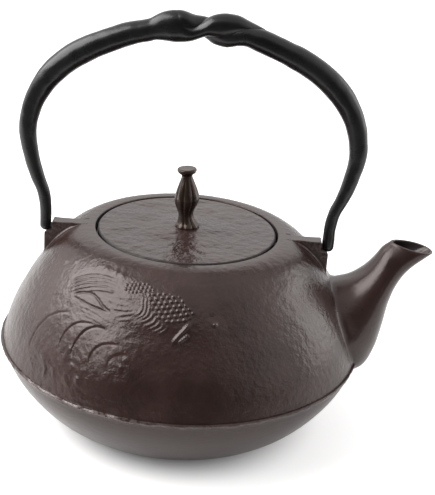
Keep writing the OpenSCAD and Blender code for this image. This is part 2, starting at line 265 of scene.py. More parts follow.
def spout_at(k, t, inset=0.0):
    """Spout's surface at station k and angle t round it: an egg between the inner and
    outer line of the middle plane, as wide as the station's half width, with its
    narrow end at the lip's tip. inset moves it inwards all round."""
    i, o = at(SPOUT_IN, k), at(SPOUT_OUT, k)
    shift = unit(o - i) * inset
    w = (0.5 + 0.5 * np.cos(t))[..., None]
    m = (i + shift) * w + (o - shift) * (1 - w)
    wide = (at(SPOUT_W, k) - inset) * np.sin(t) * (1 - at(SPOUT_Q, k) * np.cos(t))
    return np.stack([m[..., 0], wide, m[..., 1]], -1)


def make_spout():
    """Rings from the casting's face over a hollow flare to a crease, along the spout, over
    its thin lip, back down the channel, through the wall, and between its two faces out
    to the start. The crease is at station 1.15 + 0.65 cos t. The flare starts 0.2 mm
    under the face and rises to the crease as the 5th power of the way in."""
    t = np.linspace(0, 2 * PI, 112, endpoint=False)
    crease = 1.15 + 0.65 * np.cos(t)
    u, s, h = skin_place(spout_at(crease, t))
    away = np.stack([u, s - hole_s])
    away *= (5.6 - 0.8 * np.cos(2 * t)) / np.linalg.norm(away, axis=0)
    under, flare, neck = 0.2, 13, 63
    rows = [on_skin(u + away[0] * (1 - x), s + away[1] * (1 - x), (h + under) * x**5 - under)
            for x in np.linspace(0, 1, flare) ** 0.45]
    rows += [spout_at(crease + (SPOUT_END - crease) * x, t) for x in (np.linspace(0, 1, neck + 1) ** 1.1)[1:]]
    for a in np.linspace(0, PI, 9)[1:-1]:
        over = np.array([0.1, 0, 0.95]) * SPOUT_LIP * 0.42 * math.sin(a)
        rows.append(spout_at(SPOUT_END, t, SPOUT_LIP * 0.5 * (1 - math.cos(a))) + over)
    rows += [spout_at(k, t, at(CHANNEL, k)) for k in np.linspace(SPOUT_END, 0, 44)]
    # a collar that grows under the wall's inner face and turns back into the wall
    rows += [on_skin(*hole_place(t, grow), -depth) for grow, depth in
             ((0, WALL + 0.9), (0.5, WALL + 0.7), (1.2, WALL + 0.45), (2.6, WALL + 0.25),
              (3.4, WALL + 0.1), (3.6, 1.7))]
    for x in np.linspace(0, 1, 6)[1:]:
        gu, gs = hole_place(t, 3.6)
        rows.append(on_skin(gu + (u + away[0] - gu) * x, gs + (s + away[1] - gs) * x, 0.9 * x - 1.6))
    row = np.arange(len(rows))[:, None] - flare - neck
    # the channel past the lip takes the smooth enamel's inner grey, much lighter than the pot's black inner
    # enamel: inner enamel with painted light inside the mouth
    ob = put_grid("cast_spout", np.array(rows), "plain", "pot", loop=True,
                  inner=np.clip((row - 5) / 4, 0, 1), worn=0.25 * ((row >= -1) & (row < 5)))
    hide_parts("spout")


# ---------------------------------------------------------------- relief on the shoulder
def lay(line):
    """Points every 0.7 mm along a smooth line given as (angle in degrees, height): their
    distances round and up the face, and their angles."""
    mean_r = 60.0
    q = np.asarray(line, float)
    flat = np.stack([np.radians(q[:, 0]) * mean_r, height_s(q[:, 1])], -1)
    count = max(6, int(np.linalg.norm(np.diff(flat, axis=0), axis=1).sum() / 0.7))
    a, s = through(flat, count).T
    a = a / mean_r
    return np.stack([radius_at(s) * a, s], -1), a


def offsets(line, s, a, reach):
    """For grid places within reach of a line: the line's points, which places they are,
    and how far round and up each place lies from each point."""
    least_r = 50
    q, qa = lay(line)
    m = np.nonzero((s > q[:, 1].min() - reach) & (s < q[:, 1].max() + reach)
                   & (a > qa.min() - reach / least_r) & (a < qa.max() + reach / least_r))
    return q, m, (a[m][:, None] - qa) * radius_at(s[m])[:, None], s[m][:, None] - q[:, 1]


def near(line, s, a, reach, fade):
    """For grid places near a line: which they are, their distance to it, whether they lie
    on its right, and the line's strength there, which fades to 0 at both ends."""
    q, m, dx, dy = offsets(line, s, a, reach)
    d2 = dx**2 + dy**2
    i = d2.argmin(1)
    j = np.arange(len(i))
    t = tangents(q)[i]
    x = i / (len(q) - 1.0)
    right = t[:, 0] * dy[j, i] < t[:, 1] * dx[j, i]
    return m, np.sqrt(d2[j, i]), right, ease(x / fade) * ease((1 - x) / fade)


def inward(points, s, a):
    """Distance in mm of grid places inside a smooth closed outline of (degrees, height)
    points, and 0 outside it: the even-odd rule for the side, and the nearest sample of
    the outline for the distance. Returns the places and their distance."""
    _, m, dx, dy = offsets(points + points[:1], s, a, 0)
    x2, y2 = np.roll(dx, -1, 1), np.roll(dy, -1, 1)
    with np.errstate(divide="ignore", invalid="ignore"):
        hit = ((dy > 0) != (y2 > 0)) & (0 < dx + (x2 - dx) * dy / (dy - y2))
    return m, np.sqrt((dx**2 + dy**2).min(1)) * (hit.sum(1) % 2)


def rib(z, place, line, width, height, fade):
    """Adds a rounded line: height times exp(-(distance / width)^2), fading at its ends."""
    m, d, _, strength = near(line, *place, 3 * width, fade)
    z[m] += height * np.exp(-(d / width) ** 2) * strength


def fold(z, place, line, height, width=0.5, wide=3.4):
    """Adds the edge of a fin's lobe: a thin groove along the line, and on its right side
    a rounded swell that falls away over wide."""
    m, d, right, strength = near(line, *place, wide * 1.6, 0.22)
    groove = np.exp(-(d / width) ** 2)
    z[m] += height * strength * (right * (1 - groove) * np.exp(-(d / wide) ** 2) - 0.8 * groove)


# the goldfish in lines of (angle in degrees, height): the long edges on top of its tail,
# the leaf between them and the rays, the side fin's ribs, the gills, the tail's hanging
# lobes, the weed under them and one arc by the spout
TAIL_TOP = [[(-139.4, 73.1), (-135.2, 76.4), (-130, 78.6), (-123.8, 79.6), (-116.4, 79.6)],
            [(-138.8, 72.1), (-134.2, 75.5), (-129, 77.7), (-123, 78.8), (-116.4, 78.9)],
            [(-138, 71.2), (-133.2, 74.6), (-127.8, 76.7), (-122.2, 77.9), (-116.6, 78)],
            [(-136.6, 70.7), (-132.2, 73.6), (-127, 75.8), (-121.2, 76.9), (-116.4, 77.1)],
            [(-128.8, 73.6), (-125, 75), (-120.4, 75.9), (-114.8, 76.3)]]
LEAF = [[(-134.4, 70.4), (-131.6, 72.0), (-128.2, 73.1), (-124.4, 73.4), (-121.6, 72.6), (-118.8, 71.2),
         (-114.2, 69.9)],
        [(-134.4, 70.4), (-128, 70.1), (-122.8, 69.9), (-118.8, 69.8), (-114.2, 69.8)]]
RAYS = [[(-129.4, 68.4), (-124.4, 68.8), (-120, 68.4), (-115.8, 67.4), (-111.6, 66.8)],
        [(-128.2, 67.4), (-124.4, 67.6), (-120.2, 67.2), (-116, 66.3), (-112.4, 65.6)],
        [(-126.2, 66.4), (-122.2, 66.5), (-118, 66), (-113.8, 65)],
        [(-119.4, 74), (-116, 73.4), (-112, 73.2), (-107, 73.6)],
        [(-117.6, 75.2), (-113, 75.2), (-108.4, 75.9), (-104.4, 77)],
        [(-116.6, 72.1), (-113.6, 71.6), (-109.8, 71.8), (-105.6, 72.5)],
        [(-113, 69.2), (-109.8, 70.2), (-106.6, 71.2), (-103.6, 72.2)],
        [(-111.6, 67.9), (-108.4, 68.9), (-105.2, 69.7)]]
FAN = [[(-103.6, 77.1), (-103.4, 75.2), (-103, 73.4), (-103.6, 71.8), (-106, 70.8)],
       [(-102, 77.3), (-102, 75.4), (-101.6, 73.5), (-102, 71.5), (-104.8, 70.2)],
       [(-100.3, 75.6), (-100.2, 73.6), (-100.6, 71.4), (-103.4, 69.7)],
       [(-98.5, 73.2), (-98.9, 71.2), (-100.4, 69.9), (-102.8, 68.9)],
       [(-96.9, 71.9), (-97.4, 70.2), (-98.8, 68.9), (-101.3, 68.1)],
       [(-95.4, 70.7), (-95.9, 69.4), (-97.3, 68.1), (-99.6, 67.2)],
       [(-94, 70), (-94.5, 68.5), (-95.8, 67.4), (-98, 66.5)],
       [(-92.5, 69.4), (-93, 68), (-94.3, 66.9), (-96, 66.2)]]
GILL = [[(-83.8, 71.1), (-86.2, 68.6), (-88.6, 65.9), (-90.8, 63.1)],
        [(-84.8, 66.8), (-86.7, 65.3), (-88.7, 63.7)]]
LOBES = [[(-130.6, 65.6), (-136.4, 63.0), (-139.9, 60.0), (-142.4, 55.1), (-143, 50), (-142.6, 44.6)],
         [(-116.8, 64.5), (-121.8, 64.4), (-126, 63), (-128.7, 60), (-129.8, 56), (-129.2, 52), (-127.2, 48)],
         [(-113.4, 64), (-117.6, 64.2), (-120.6, 62.8), (-122.6, 60.3), (-123.8, 57), (-124, 54),
          (-122.8, 50.8)],
         [(-107.2, 60.4), (-111, 60.2), (-114, 59.1), (-116.1, 56.8), (-116.9, 54), (-116.2, 51)],
         [(-103.2, 57.4), (-106.6, 57.6), (-109.2, 56.3), (-110.4, 53.6), (-110.3, 50.9)]]
WEED = [[(-136.8, 49.2), (-134.4, 46.5), (-132.4, 43.5), (-132, 40.6), (-129.6, 38.4)],
        [(-129.6, 46.2), (-128.4, 43.3), (-126.6, 40.4)], [(-124.6, 46), (-123, 42.7), (-121, 39.8)],
        [(-121.4, 47.8), (-119.8, 45.2), (-118.6, 42.2)], [(-141.6, 44.4), (-139.2, 41.9), (-136.8, 40.3)]]
ARCS = [[(-46.4, 68.0), (-40.8, 64.6), (-38.2, 60.2), (-37.2, 54.6)]]
# closed outlines of the body and of its two scaly patches
BODY = [(-116.8, 71), (-116.6, 76.5), (-113.6, 79.6), (-107.2, 80.8), (-100.2, 80.6), (-94.6, 80.1),
        (-88.8, 80), (-83, 79.6), (-78, 78.3), (-74.2, 76.2), (-71.8, 73.6), (-70.4, 70.6), (-69.9, 67.4),
        (-70.8, 64.2), (-73, 61.4), (-76, 59.8), (-79.6, 59.5), (-83.2, 60.8), (-87, 62.2), (-91, 63.2),
        (-96, 63.8), (-103, 62.9), (-110, 62.2), (-114.8, 64)]
SCALES = [[(-102.6, 78.2), (-98, 79), (-92.8, 79.1), (-88, 78.3), (-86, 76.2), (-83, 73.8), (-84.6, 71.4),
           (-88.6, 69.7), (-92.8, 69.8), (-96.2, 70.8), (-98.6, 72.5), (-100.8, 74.8)],
          [(-113.8, 79.6), (-109.6, 80.9), (-105, 81.2), (-100, 80.4), (-99.4, 78.6), (-104.4, 77.7),
           (-108.8, 76.9), (-112.8, 77.4)]]
# the eye, bubbles and small bumps: rows of (angle in degrees, height, width, relief)
DOTS = [(-75.6, 69.9, 0.8, 0.75), (-76.7, 72.3, 1.3, -0.3), (-120, 81.7, 1.0, 0.5),
        (-116.2, 81.3, 1.3, 0.35), (-122.8, 49.2, 0.8, 0.2), (-119.4, 45.3, 0.9, 0.22),
        (-106, 53.4, 0.9, 0.2), (-104.6, 56.3, 1.1, 0.15), (-109.4, 58.6, 1.0, 0.15),
        (-150, 77.6, 1.2, 0.2), (-143.6, 79.5, 1.0, 0.35), (-125.4, 81.6, 1.2, 0.25)]


def relief(u, s, a):
    """Height of the cast goldfish and its tail over the shoulder: a flat dome for the
    body, whose edge rises over 8.5 mm and fades out at the tail; beads on a six-way net
    for scales; an eye and gills; folds and rays for the tail; and a rough patch."""
    z, place, r = np.zeros(u.shape), (s, a), radius_at(s)
    m, d = inward(BODY, *place)
    z[m] += 0.42 * ease(d / 8.5) * (0.04 + 0.96 * ease((np.degrees(a[m]) + 113) / 20))

    # beads: rows along the body, every second row moved on by half a step
    jog = np.random.default_rng(5).uniform(-0.16, 0.16, (2, 64, 64))
    net_angle, net_height, row_share = -95, 74.5, 0.87
    for patch, step, size, high, slant in ((SCALES[0], 2.2, 0.70, 0.52, 0.22),
                                           (SCALES[1], 1.75, 0.56, 0.34, 0.3)):
        m, d = inward(patch, *place)
        x, y = r[m] * (a[m] - math.radians(net_angle)), s[m] - height_s(net_height)
        x, y = x * math.cos(slant) + y * math.sin(slant), y * math.cos(slant) - x * math.sin(slant)
        row = np.round(y / (step * row_share))
        shift = 0.5 * (row % 2)
        col = np.round(x / step - shift)
        jog_x, jog_y = jog[:, col.astype(int) % 64, row.astype(int) % 64]
        far = np.hypot(x - (col + shift) * step - jog_x, y - row * step * row_share - jog_y)
        z[m] += high * np.clip(1 - (far / (size * 1.35)) ** 2, 0, 1) * ease(d / 1.2)

    for lines, width, height, fade in ((FAN, 0.45, 0.27, 0.25), (GILL, 0.7, 0.8, 0.25),
                                       (TAIL_TOP, 0.42, 0.26, 0.2), (RAYS, 0.55, 0.16, 0.3),
                                       (WEED, 0.8, 0.2, 0.35), (ARCS, 0.9, 0.25, 0.4),
                                       (LEAF, 0.42, -0.42, 0.15)):
        for line in lines:
            rib(z, place, line, width, height, fade)
    for line, height in zip(LOBES, (0.16, 0.23, 0.31, 0.23, 0.10)):
        fold(z, place, line, height)
    for angle, level, width, height in DOTS:
        far = np.hypot(r * (a - math.radians(angle)), s - height_s(level))
        z += height * np.exp(-(far / width) ** 2)
    coarse = np.exp(-((np.degrees(a) + 124) / 16) ** 2 - ((s - height_s(50)) / 9) ** 2)
    return z + 0.04 * field(on_skin(u, s, 0), 3.4, 7) * coarse


# ---------------------------------------------------------------- the pot's casting
def make_shoulder():
    """Rings of the shoulder: outline up from the ridge to the rim, over the seat's edge,
    and back between the two faces of the wall. Columns are close together under the
    relief and wider elsewhere; the relief moves the outer rings along their normals."""
    a = np.radians(np.r_[np.arange(-151, -65.8, 0.26), np.arange(-65.6, 208.4, 1.9)])
    low, middle, high = (height_s(h) for h in (43, 60, 82))
    s = np.r_[np.linspace(SPLIT_S, low, 9, endpoint=False), np.linspace(low, middle, 42, endpoint=False),
              np.linspace(middle, high, 104, endpoint=False), np.linspace(high, RIM_S, 14)]
    aa, ss = np.meshgrid(a, s)
    u = aa * radius_at(ss)
    z = relief(u, ss, aa) * ease((ss - SPLIT_S) / 5) * ease((RIM_S - ss) / 6)
    seat = np.array([SEAT_R, RIM_H]) + [[0.45, -0.03], [0.25, -0.1], [0.12, -0.25], [0.1, -0.6], [0.08, -1.6]]
    edge = np.vstack([seat, [[SEAT_R, LEDGE_H + 0.02], [SEAT_R + 0.6, LEDGE_H - 0.2]]])
    back_s = np.linspace(RIM_S - 1.5, SPLIT_S, 16)
    rest = np.vstack([edge, in_wall(back_s, 1.4), [[74.6, 35.6], [75.8, 35.75]]])
    grid = np.concatenate([on_skin(u, s[:, None], z), revolve(rest, a)])
    worn, inner = np.zeros(grid.shape[:2]), np.zeros(grid.shape[:2])
    worn[:len(s)] = np.clip(z - 0.75, 0, 1) * 0.5
    # painted shade: the seat's wall under the lid's edge takes the dark inner colour as the shade in the
    # seam, full at the front and sides and down to 0.15 at the back
    inner[len(s) + 2:len(s) + len(edge)] = 1 - 0.85 * ease((np.sin(a) - 0.2) / 0.5)
    rows = np.r_[s, np.full(len(edge), OFF_FACE), back_s, OFF_FACE, OFF_FACE]
    ob = put_grid("cast_shoulder", grid, "brown", "pot", loop=True, keep=past_hole(a, rows, 1.6),
                  worn=worn, inner=inner)
    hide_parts("pot_shoulder")


def make_bowl():
    """Rings of the bowl: from the middle of the foot, over a shallow turned hollow and the
    foot's edge, up the outline to the ridge's lip and back inside the wall. The lip
    stands out by 0.8 mm, its edge wanders by about 0.1 mm as cast, and towards the
    front left its upper corner is worn down to a slope."""
    a = np.radians(np.arange(0, 360, 0.75))
    foot = np.vstack([through([[6, 0.7], [20, 0.7], [30, 0.62], [33.5, 0.45], [35.2, 0.12], [36.4, 0.0],
                               [38.4, 0.0]], 26), [[39.3, 0.08]]])
    lip_low, slope_low, slope_tall, slope_deep = 33.9, 34.9, 1.25, 0.95
    wear_and_highlight_angle, wear_and_highlight_wide = 236, 27
    rise = bowl_line[4::2]
    rise = rise[rise[:, 1] < lip_low]
    lip = through([rise[-1], [76.05, 34.45], [76.5, 34.85], [76.82, 35.2], [76.98, 35.5], [RIDGE_R, 35.75],
                   [76.95, 35.95], [76.82, 36.1], [76.5, 36.18], [76.0, 36.2]], 24)[1:]
    back = in_wall(np.linspace(SPLIT_S - 1.5, 6, 14), 1.4)
    grid = revolve(np.vstack([foot, rise, lip, [[74.9, 36.1]], back, [[38, 1.8], [6, 1.8]]]), a)
    rows = slice(len(foot) + len(rise), len(foot) + len(rise) + len(lip))
    ring = grid[rows]
    wave = np.interp(np.arange(len(lip)), [0, 7, 14, len(lip) - 1], [0, 1, 1, 0])[:, None]
    wander = 0.07 * field(ring, 9.0, 11) + 0.05 * field(ring, 3.2, 12) - 0.12
    # the front-left sector, whose corner is both bevelled and painted lighter as a painted highlight
    left = np.exp(-(((np.degrees(a) - wear_and_highlight_angle) / wear_and_highlight_wide) ** 4))
    bevel = 0.10 + slope_deep * left * np.clip(1 + 0.4 * field(ring[-1], 5.0, 14), 0.3, 1.5)
    top = np.clip((ring[..., 2] - slope_low) / slope_tall, 0, 1)
    out = unit(ring[..., :2])
    ring[..., :2] += out * (np.minimum(wander, 0) * wave)[..., None]
    far = np.linalg.norm(ring[..., :2], axis=-1)
    ring[..., :2] += out * np.minimum(RIDGE_R - bevel * top - far, 0)[..., None]
    ring[..., 2] += wave * 0.06 * field(ring, 5.0, 13)
    worn = np.zeros(grid.shape[:2])
    # the lip's edge is worn all round; in the front-left sector its upper corner is also painted lighter, a
    # painted highlight where the left lamp catches the ridge
    worn[rows] = wave * 0.35 + np.clip(top * 3, 0, 1) * left * 0.9
    worn[len(foot) - 9:len(foot) + 2] = 0.5
    ob = put_grid("cast_bowl", grid, "plain", "pot", worn=worn)
    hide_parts("pot_bowl", "pot_base")


def make_lining():
    """The casting's inner face: floor, bowl, shoulder and the ledge that carries the
    basket, one wall's thickness inside the outline, and closed by a face inside the wall."""
    a = np.radians(np.arange(0, 360, 1.5))
    s = np.linspace(8, RIM_S - 12.5, 78)
    face = in_wall(s, WALL)
    low = through([[4, 3.5], [20, 3.5], [36, 3.55], [43.5, 4.1], face[1]], 14)[:-1]
    under = LEDGE_H - WALL
    ledge = [[face[-1][0] - 2.2, under + 0.5], [38.0, under], [LEDGE_R + 0.7, under],
             [LEDGE_R + 0.2, under + 0.15], [LEDGE_R, under + 0.5], [LEDGE_R, LEDGE_H - 0.4],
             [LEDGE_R + 0.1, LEDGE_H - 0.12], [LEDGE_R + 0.4, LEDGE_H], [36.0, LEDGE_H],
             [SEAT_R + 0.02, LEDGE_H], [SEAT_R + 0.5, LEDGE_H - 0.1]]
    back_s = np.linspace(RIM_S - 6, 9, 30)
    profile = np.vstack([low, face[1:], ledge, in_wall(back_s, 1.55), [[40, 2.2], [4, 2.2]]])
    rows = np.r_[np.full(len(low), OFF_FACE), s[1:], np.full(len(ledge), OFF_FACE), back_s,
                 OFF_FACE, OFF_FACE]
    put_grid("inner_enamel", revolve(profile, a), "black", "pot", keep=past_hole(a, rows, 2.4)[:-1])


def make_ear(side):
    """An ear: rounded slabs one after another along X. Each slab's loop runs up one face,
    over the top and down the other; at the outer end the top drops to a hollow
    z = pivot - sqrt(r^2 - y^2) for the bail's end, and the end itself is rounded."""
    flank, over = 8, 33
    top = slice(flank, flank + over)
    y = np.r_[np.ones(flank), np.cos(np.linspace(0, PI, over)), -np.ones(flank)]
    climb = np.r_[np.linspace(0, 1, flank, endpoint=False), np.ones(over), np.linspace(1, 0, flank + 1)[1:]]
    round_from, round_deep = 0.86, 0.75
    near_face = np.clip((abs(y) - round_from) / (1 - round_from), 0, 1)
    corner = round_deep * (np.sqrt(1 - near_face**2) - 1)
    # slabs of (x, how much narrower, how much lower, whether it lies in the notch)
    slabs = [(x, 0, 0, False) for x in np.linspace(39.0, 55.9, 24)]
    slabs += [(56.2, 0, 0.06, False), (56.4, 0, 0.2, False), (56.5, 0, 0.45, False), (56.52, 0, -0.25, True)]
    slabs += [(x, 0, 0, True) for x in (56.6, 57.2, 58.0, 58.8, 59.2)]
    slabs += [(59.45, 0.1, 0.1, True), (59.62, 0.3, 0.3, True), (EAR_OUT, 0.6, 0.6, True)]
    rows = []
    for x, narrower, lower, notched in slabs:
        across = y * (EAR_T / 2 - narrower)
        hollow = PIVOT_H - np.sqrt(NOTCH_R**2 - across**2) + 0.55 * corner
        crest = (hollow if notched else EAR_H + corner) - lower
        rows.append(np.stack([np.full_like(y, x), across, EAR_LOW + (crest - EAR_LOW) * climb], -1))
    grid = np.array(rows)
    grid[..., 1] += 0.03 * field(grid, 6.0, 21)
    grid[:, top, 2] += 0.05 * field(grid[:, top], 7.0, 22)
    grid[..., 0] *= side
    worn = np.zeros(grid.shape[:2])
    worn[:, flank - 1:flank + 5] = worn[:, -flank - 5:-flank + 1] = 0.35
    worn[-4:] = 0.3
    name = "right" if side > 0 else "left"
    ob = put_grid(f"ear_{name}_cast", grid, "plain", "pot", worn=worn)
    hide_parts(f"ear_{name}")
    make_fillet(f"ear_{name}_fillet", side)


def make_fillet(name, side):
    """Hollow fillet round an ear's foot: from a height up the ear's face, by a curve with
    its handle at the foot, to 1.15 times that distance out on the casting."""
    w, start_x, turn_x, turn_r, tall, below_top = EAR_T / 2, 41.5, 59.0, 0.7, 1.7, 0.35
    turn = np.linspace(0.3, 1.57, 5)
    face = np.vstack([np.column_stack([np.linspace(start_x, turn_x, 26), np.full(26, w)]),
                      np.column_stack([turn_x + turn_r * np.sin(turn), w - turn_r + turn_r * np.cos(turn)])])
    end = np.column_stack([np.full(7, EAR_OUT), np.linspace(2.0, -2.0, 7)])
    path = np.vstack([face, end, face[::-1] * [1, -1]])
    r = np.linalg.norm(path, axis=1)
    z, nr, nz = (np.interp(r, shoulder_line[::-1, 0], v[::-1])
                 for v in (shoulder_line[:, 1], *skin_n[len(bowl_line):].T))
    foot = np.column_stack([path, z])
    n = np.column_stack([path / r[:, None] * nr[:, None], nz])
    t = np.gradient(path, axis=0)
    out = unit(np.column_stack([-t[:, 1], t[:, 0], np.zeros(len(t))]))
    out = unit(out - n * (out * n).sum(1, keepdims=True))
    size = tall * ease((EAR_H - below_top - z) / 2.0)[:, None] + 0.05
    start, far = foot + UP * size, foot + out * size * 1.15
    v = np.linspace(0, 1, 9)[None, :, None]
    arc = (1 - v) ** 2 * start[:, None] + 2 * v * (1 - v) * (foot + 0.08 * n)[:, None] + v**2 * far[:, None]
    hidden = np.stack([far - n * 0.5, foot - n * 0.9 - out * 0.5, start - out * 0.6], 1)
    grid = np.concatenate([arc, hidden], 1)
    grid[:, 0] -= out * 0.06
    grid[:, 8] -= n * 0.06
    grid[..., 0] *= side
    worn = np.zeros(grid.shape[:2])
    # painted highlight: the middle of the hollow takes the worn colour as a light line where the fillet
    # catches the light
    worn[:, 3:6] = 0.5
    put_grid(name, grid, "plain", "pot", worn=worn)


# ---------------------------------------------------------------- lid
def make_lid():
    """The lid: one outline turned round the axis, a disc with a low swell of 1.4 mm under
    the knob, a rounded edge and a ring below. The steam hole behind the knob is
    left open, and an eyelet lines it."""
    swell, swell_r, hole_r = 1.4, 11.5, 1.75
    r = np.linspace(2.5, 36.5, 74)
    top = np.column_stack([r, RIM_H + swell * np.exp(-((r / swell_r) ** 2))])
    edge = [[36.8, 84.9], [37.02, 84.74], [37.18, 84.5], [37.25, 84.15], [LID_R, 83.2], [LID_R, 82.7],
            [LID_R, 82.42], [37.1, LID_UNDER], [32.4, LID_UNDER]]
    ring = [[LID_RING_R, 82.2], [LID_RING_R, 79.5], [31.9, 79.15], [31.6, 79.0], [30.4, 79.0], [30.1, 79.15],
            [30.0, 79.5], [30.0, 82.1]]
    under = [[x, LID_UNDER] for x in (29.6, 24, 18, 12, 10.5, 9, 7.5, 6, 2.5)]
    grid = revolve(np.vstack([top, edge, ring, under]), np.radians(np.arange(0, 360, 1.25)))
    grid[:len(r), :, 2] += 0.08 * field(grid[:len(r)], 13.0, 31) * ease((36.4 - r) / 5)[:, None]
    pair = grid + np.roll(grid, -1, 1)
    middle = (pair[:-1] + pair[1:]) / 4
    keep = np.hypot(middle[..., 0], middle[..., 1] - STEAM_Y) > hole_r
    # painted shade: the lid's rounded edge takes the near-black inner colour as the shade in the seam; the
    # ring and the underside take it as their own dark colour
    ob = put_grid("cast_lid", grid, "lid", "lid", keep=keep, inner=(np.arange(len(grid)) >= len(r))[:, None])
    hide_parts("lid")
    bead = through([[1.1, 82.3], [1.1, 84.9], [1.25, 85.35], [1.7, 85.6], [2.3, 85.45], [2.7, 85.05],
                    [2.9, 84.7]], 16)
    loop = np.vstack([bead, [[2.7, 83.9], [2.7, 82.9], [2.6, 82.25], [1.6, 82.1]]])
    eyelet = revolve(loop, np.linspace(0, 2 * PI, 40, endpoint=False)) + [0, STEAM_Y, 0]
    put_grid("steam_eyelet", eyelet, "lid", "lid", loop=True)


# rows of (share of the height, share of the radius, depth of the grooves); the depth is
# carried along the outline as if in mm, and counts as a share of a full one
KNOB = [[-0.03, 0.9, 0.14], [0, 0.96, 0.16], [0.022, 1.0, 0.17], [0.05, 0.93, 0.16], [0.085, 0.8, 0.14],
        [0.12, 0.71, 0.12], [0.16, 0.64, 0.09], [0.22, 0.6, 0.09], [0.29, 0.7, 0.13], [0.37, 0.88, 0.16],
        [0.45, 0.985, 0.17], [0.53, 0.965, 0.16], [0.62, 0.845, 0.15], [0.71, 0.68, 0.12],
        [0.79, 0.52, 0.08], [0.845, 0.44, 0.05], [0.872, 0.47, 0.03], [0.9, 0.66, 0.015],
        [0.925, 0.765, 0.01], [0.948, 0.785, 0.01], [0.966, 0.75, 0.0], [0.974, 0.66, 0.0],
        [0.972, 0.45, 0.0], [0.968, 0.2, 0.0]]


def make_knob():
    """The knob: rings up its height, each with eight lobes, radius times
    1 - depth (1 - |cos 4a|^0.8), which meet in narrow grooves. It leans by 3.6 degrees,
    its waist lies 0.6 mm to one side, and its top is slightly dished."""
    carried, full, first_lobe = 19, 30, math.radians(81)
    waist, waist_z, waist_tall, lean = 0.6, 6.5, 4.5, math.radians(3.6)
    p = through([[b * KNOB_R, a * KNOB_H, c * carried] for a, b, c in KNOB], 140)
    depth = np.clip(p[:, 2:] / full, 0, 1)
    a = np.linspace(0, 2 * PI, 160, endpoint=False)
    groove = 1 - np.abs(np.cos(4 * (a + first_lobe))) ** 0.8
    r = p[:, :1] * (1 - depth * groove)
    z = np.repeat(p[:, 1:2], len(a), 1)
    x = r * np.cos(a) - waist * np.exp(-((z - waist_z) / waist_tall) ** 2)
    grid = np.stack([x * math.cos(lean) - z * math.sin(lean), r * np.sin(a),
                     np.maximum(x * math.sin(lean) + z * math.cos(lean), -0.5) + RIM_H + 0.85], -1)
    ob = put_grid("fluted_knob", grid, "knob", "lid",
                  worn=np.clip(1 - groove * 1.6, 0, 1) * np.clip(depth * 7, 0, 1))
    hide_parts("lid_knob")


def make_rivet():
    """The rivet's head under the lid, a low dome beaten flat in the middle, with its shank."""
    dome = through([[0.4, 80.75], [1.6, 80.85], [2.8, 81.2], [3.5, 81.7], [3.8, 82.1], [3.84, LID_UNDER]], 22)
    grid = revolve(np.vstack([dome, [[3.4, 82.6], [1.6, 82.7], [1.6, 89.5], [0.5, 89.7]]]),
                   np.linspace(0, 2 * PI, 72, endpoint=False))
    grid[:18, :, 2] += 0.09 * field(grid[:18], 2.6, 41)
    ob = put_grid("rivet_head", grid, "rivet", "lid")
    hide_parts("knob_rivet")


# ---------------------------------------------------------------- bail
# rows of (how far out, share of the height, share of the thickness), from the pivot to the
# top: the first six go out from the leg to the widest place, and the rest are shares of it
BAIL = [[0, 0, 0.485], [0.015, 0.095, 0.485], [0.17, 0.172, 0.505], [0.50, 0.247, 0.56], [0.83, 0.353, 0.64],
        [1, 0.483, 0.733], [0.965, 0.60, 0.828], [0.904, 0.692, 0.911], [0.835, 0.759, 0.974],
        [0.753, 0.814, 1.0], [0.641, 0.868, 1.0], [0.472, 0.927, 0.955], [0.275, 0.977, 0.90],
        [0.12, 0.995, 0.88], [0, 1, 0.87]]
